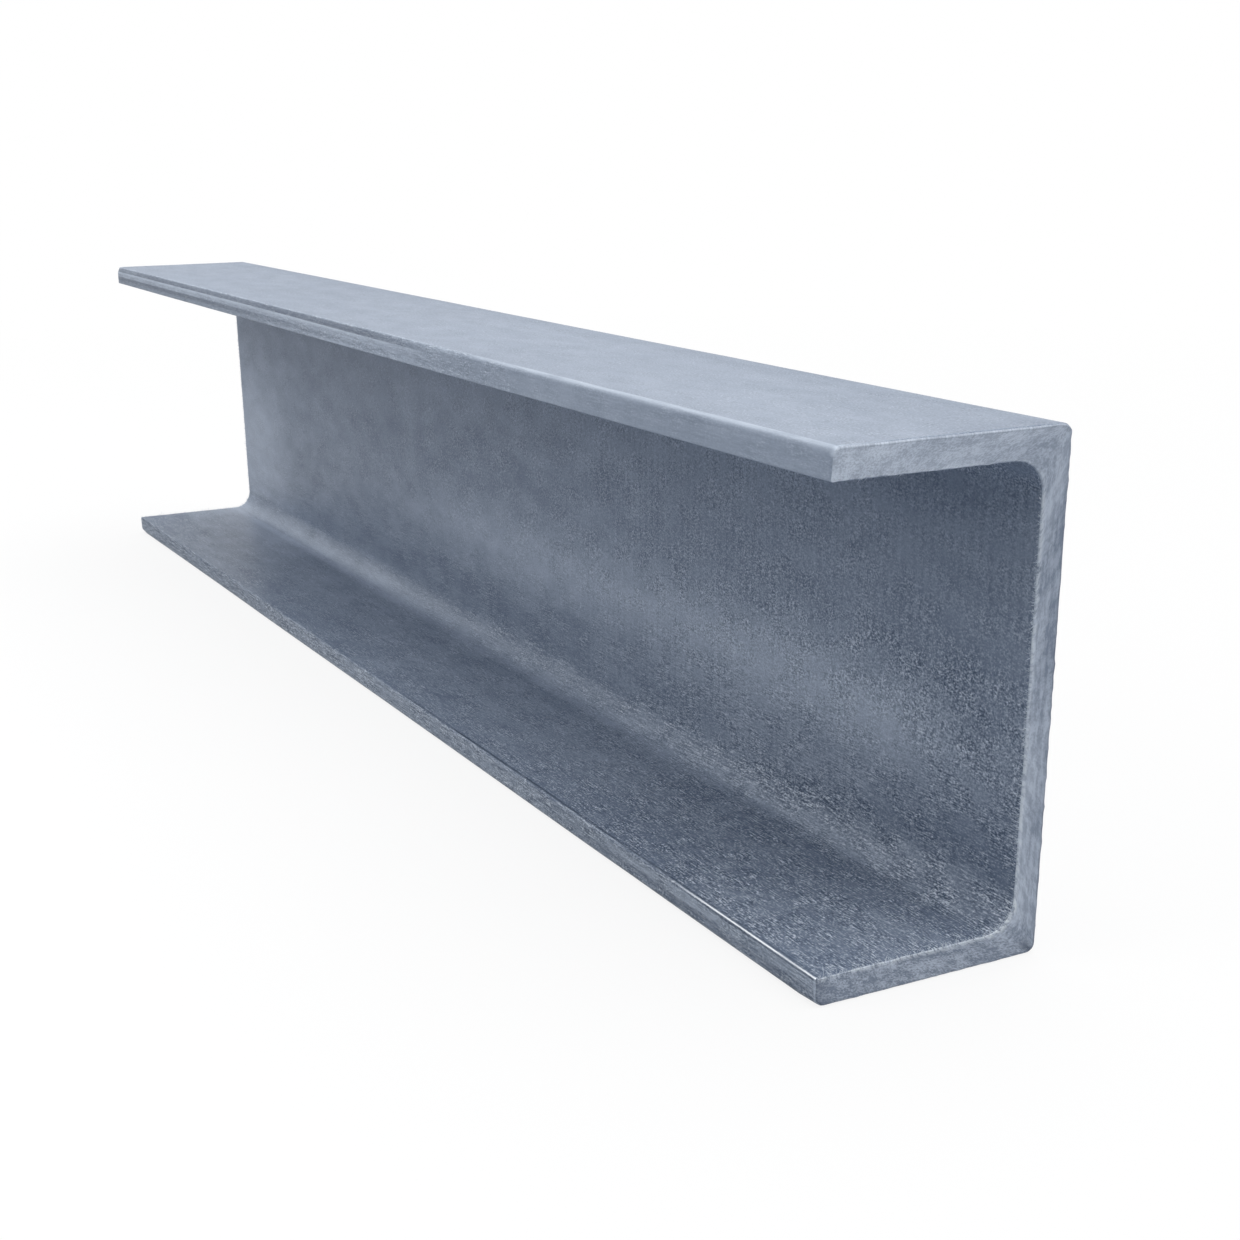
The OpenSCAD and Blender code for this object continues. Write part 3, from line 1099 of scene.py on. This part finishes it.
class CHANNEL_OT_fibres(bpy.types.Operator):
    """Adds the short glass fibres that the saw frays from the inner edge of each cut end"""

    bl_idname = "channel.fibres"
    bl_label = "Cut fibres"

    def execute(self, context):
        scene = context.scene
        sizes = scene.channel_sizes
        look = scene.channel_sawn
        rng = np.random.default_rng(scene.channel_relief.seed + 1)
        section = Section(sizes)
        weight = fray_shares(section) ** 1.5 * section.steps
        points = []
        faces = []
        for side in (-1, 1):
            picks = rng.choice(section.count, look.fibres, p=weight / weight.sum())
            for pick in picks:
                self.add_fibre(section, sizes, look, pick, side, rng, points, faces)
        piece = mesh_from(FRAY_NAME, np.array(points), faces, smooth=False)
        piece.data.materials.append(fibre_finish(look))
        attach(piece, "root")
        return {"FINISHED"}

    def add_fibre(self, section, sizes, look, pick, side, rng, points, faces):
        """Adds one three-sided fibre that tapers from a root in the cut edge to a bent tip."""
        start = section.points[pick]
        end = section.points[(pick + 1) % section.count]
        place = start + (end - start) * rng.random()
        normal = section.normals[pick]
        along = np.array((-normal[1], normal[0]))
        length = look.fibre_length * (0.4 + rng.exponential(0.6))
        width = look.fibre_width * rng.uniform(0.5, 1.2)
        lean = rng.normal(0, 0.8)
        back = rng.uniform(0.05, 0.9)
        behind_cut = rng.uniform(0.1, 0.35) * MM
        root = np.array((side * (sizes.length / 2 - behind_cut), *(place - normal * FIBRE_ROOT)))
        heading = np.array((-side * back, *(normal + along * lean)))
        heading /= np.linalg.norm(heading)
        bend = np.array((-side * rng.uniform(0, 0.5), *(along * rng.normal(0, 0.5))))
        middle = root + heading * (FIBRE_ROOT + length * 0.5)
        tip = root + (heading + 0.4 * bend) * (FIBRE_ROOT + length)
        across = np.cross(heading, FIBRE_TWIST)
        across /= np.linalg.norm(across)
        third = np.cross(heading, across)
        base = len(points)
        for centre, radius in ((root, width / 2), (middle, width / 2.4)):
            for turn in (0, 1, 2):
                angle = turn * 4 * QUARTER / 3
                points.append(centre + radius * (math.cos(angle) * across + math.sin(angle) * third))
        points.append(tip)
        for turn in (0, 1, 2):
            beside = (turn + 1) % 3
            faces.append((base + turn, base + beside, base + 3 + beside, base + 3 + turn))
            faces.append((base + 3 + turn, base + 3 + beside, base + 6))
        faces.append((base + 2, base + 1, base))


class CHANNEL_OT_stage(bpy.types.Operator):
    """Sets the floor, the soft light and the camera"""

    bl_idname = "channel.stage"
    bl_label = "Studio"

    def execute(self, context):
        scene = context.scene
        setup = scene.channel_studio
        self.lay_floor(setup)
        self.light(scene, setup)
        self.aim_camera(scene, setup)
        scene.view_settings.view_transform = "Standard"
        return {"FINISHED"}

    def seen(self, finish):
        """1 for what the camera sees itself, in a reflection or through glass."""
        path = finish.add("ShaderNodeLightPath").outputs
        mirrored = finish.maths("MAXIMUM", path["Is Glossy Ray"], path["Is Transmission Ray"])
        return finish.maths("MAXIMUM", path["Is Camera Ray"], mirrored)

    def lay_floor(self, setup):
        """A pale floor that fades into the white backdrop."""
        reach = setup.floor_reach
        corners = np.array(((-reach, -reach, 0), (reach, -reach, 0), (reach, reach, 0), (-reach, reach, 0)))
        floor = mesh_from("studio_floor", corners, [(0, 1, 2, 3)], smooth=False)
        finish = Finish(bpy.data.materials.new("studio_floor"))
        distance = finish.add("ShaderNodeVectorMath", {"operation": "LENGTH"}, _0=finish.places())
        far = finish.spread(distance.outputs["Value"], setup.fade_start, setup.fade_end, setup.floor_glow, 1)
        matte = finish.add("ShaderNodeBsdfDiffuse", Color=solid(setup.floor))
        white = finish.add("ShaderNodeEmission", Color=WHITE, Strength=1)
        shown = finish.add("ShaderNodeMixShader", _0=far, _1=matte.outputs[0], _2=white.outputs[0])
        dim = finish.add("ShaderNodeBsdfDiffuse", Color=solid(setup.bounce))
        seen = self.seen(finish)
        mixed = finish.add("ShaderNodeMixShader", _0=seen, _1=dim.outputs[0], _2=shown.outputs[0])
        floor.data.materials.append(finish.close(mixed.outputs[0]))

    def light(self, scene, setup):
        """Even light from all round, wide soft lamps overhead and at the near end, and one in front."""
        finish = Finish(bpy.data.worlds.new("studio"))
        direction = finish.add("ShaderNodeTexCoord").outputs["Generated"]
        height = finish.add("ShaderNodeSeparateXYZ", _0=direction)
        strength = finish.spread(height.outputs[2], 0, 1, setup.fill_low, setup.fill_high)
        fill = finish.add("ShaderNodeBackground", Color=solid(setup.fill), Strength=strength)
        white = finish.add("ShaderNodeBackground", Color=WHITE, Strength=1)
        seen = self.seen(finish)
        mixed = finish.add("ShaderNodeMixShader", _0=seen, _1=fill.outputs[0], _2=white.outputs[0])
        scene.world = finish.close(mixed.outputs[0], "ShaderNodeOutputWorld")
        self.hang_lamp(scene, "top_lamp", setup.top_lamp, setup.top_spread, setup.top_height, setup.top_side)
        self.hang_lamp(scene, "end_lamp", setup.end_lamp, setup.end_spread, setup.end_height, setup.end_side)
        panel = bpy.data.lights.new("front_lamp", "AREA")
        panel.shape = "DISK"
        panel.size = setup.front_size
        panel.energy = setup.front_lamp
        self.place_lamp(scene, panel, setup.front_place)

    def hang_lamp(self, scene, name, strength, spread, height, side):
        """One wide soft lamp, far off, at a height above level and turned from the open side."""
        lamp = bpy.data.lights.new(name, "SUN")
        lamp.energy = strength
        lamp.angle = spread
        level = math.cos(height)
        self.place_lamp(scene, lamp, (math.sin(side) * level, -math.cos(side) * level, math.sin(height)))

    def place_lamp(self, scene, lamp, place):
        """Puts a lamp at a place and turns it to the middle of the frame."""
        holder = bpy.data.objects.new(lamp.name, lamp)
        holder.location = place
        holder.rotation_euler = Vector(place).to_track_quat("Z", "Y").to_euler()
        scene.collection.objects.link(holder)

    def aim_camera(self, scene, setup):
        """The camera at the picture's viewing angle."""
        turn = setup.camera_turn
        tilt = setup.camera_tilt
        roll = setup.camera_roll
        back = np.array((math.sin(turn) * math.cos(tilt), -math.cos(turn) * math.cos(tilt), math.sin(tilt)))
        right = np.array((math.cos(turn), math.sin(turn), 0))
        up = np.cross(back, right)
        rolled_right = math.cos(roll) * right + math.sin(roll) * up
        rolled_up = math.cos(roll) * up - math.sin(roll) * right
        lens = bpy.data.cameras.new("camera")
        lens.sensor_width = SENSOR_WIDTH
        lens.lens = setup.camera_lens
        lens.shift_y = setup.camera_rise
        lens.clip_start = NEAREST_SEEN
        camera = bpy.data.objects.new("camera", lens)
        columns = np.column_stack((rolled_right, rolled_up, back, setup.camera_place))
        camera.matrix_world = Matrix(np.vstack((columns, (0, 0, 0, 1))).tolist())
        scene.collection.objects.link(camera)
        scene.camera = camera


class CHANNEL_PT_panel(bpy.types.Panel):
    """Lists the pieces and their settings"""

    bl_idname = "CHANNEL_PT_panel"
    bl_label = "Fiberglass U-Channel"
    bl_space_type = "VIEW_3D"
    bl_region_type = "UI"
    bl_category = "U-Channel"

    def draw(self, context):
        layout = self.layout
        for operator, groups in PANEL_ROWS:
            box = layout.box()
            box.operator(operator.bl_idname)
            for group in groups:
                settings = getattr(context.scene, group)
                for name in settings.__annotations__:
                    box.prop(settings, name)


PANEL_ROWS = (
    (CHANNEL_OT_body, ("channel_sizes", "channel_relief", "channel_skin")),
    (CHANNEL_OT_fibres, ("channel_sawn",)),
    (CHANNEL_OT_stage, ("channel_studio",)),
)
GROUPS = {
    "channel_sizes": ChannelSizes,
    "channel_relief": ReliefSizes,
    "channel_skin": SkinFinish,
    "channel_sawn": SawnFinish,
    "channel_studio": StudioSetup,
}
CLASSES = (*GROUPS.values(), CHANNEL_OT_body, CHANNEL_OT_fibres, CHANNEL_OT_stage, CHANNEL_PT_panel)


def register():
    """Adds the classes and their settings to Blender."""
    for kind in CLASSES:
        bpy.utils.register_class(kind)
    for name, group in GROUPS.items():
        setattr(bpy.types.Scene, name, PointerProperty(type=group))


def unregister():
    """Takes the settings and classes out again."""
    for name in GROUPS:
        delattr(bpy.types.Scene, name)
    for kind in reversed(CLASSES):
        bpy.utils.unregister_class(kind)


def main():
    """Builds everything in order."""
    register()
    bpy.ops.channel.body()
    bpy.ops.channel.fibres()
    bpy.ops.channel.stage()


if __name__ == "__main__":
    main()
